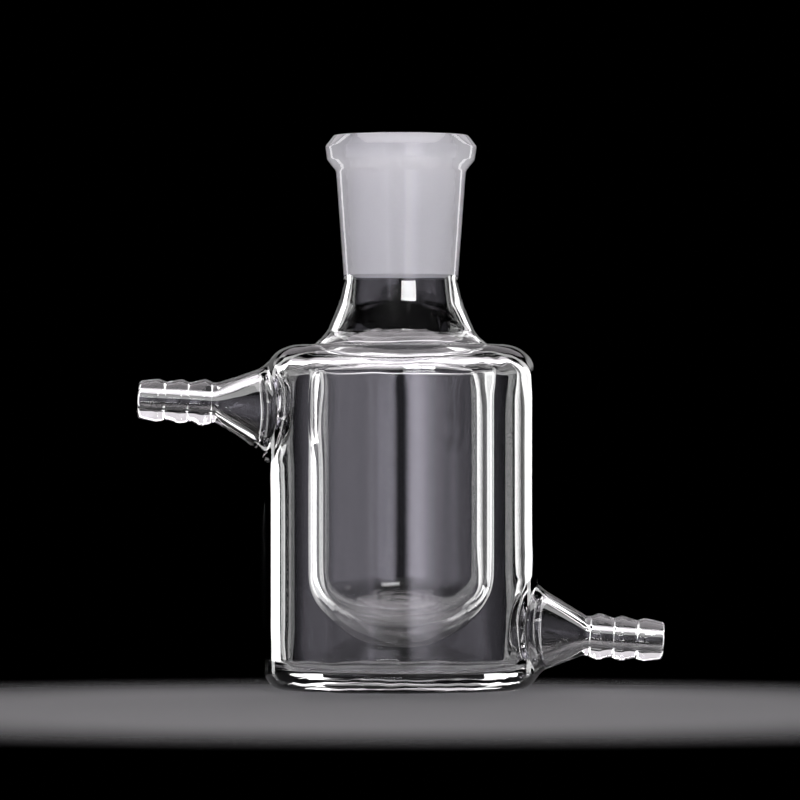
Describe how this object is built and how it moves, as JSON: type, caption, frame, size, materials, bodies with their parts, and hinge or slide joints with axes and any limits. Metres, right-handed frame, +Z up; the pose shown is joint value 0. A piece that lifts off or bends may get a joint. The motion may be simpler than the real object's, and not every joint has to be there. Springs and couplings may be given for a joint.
{
  "type": "jacketed glass reactor",
  "caption": "Clear glass vessel with a round bottom inside a water jacket, a ground-glass socket on top and barbed hose nozzles at its sides.",
  "frame": {"origin": "centre of the flat base that the reactor stands on", "axes": "+Z up along the vessel's axis through the mouth; the lower nozzle points along +X and the upper nozzle along -X; the picture looks along +Y"},
  "size_m": [0.1117, 0.058, 0.1175],
  "materials": {
    "glass": "clear polished borosilicate glass, frosted on the socket's ground cone"
  },
  "bodies": {
    "root": {"jacketed_vessel": "glass"}
  },
  "joints": []
}
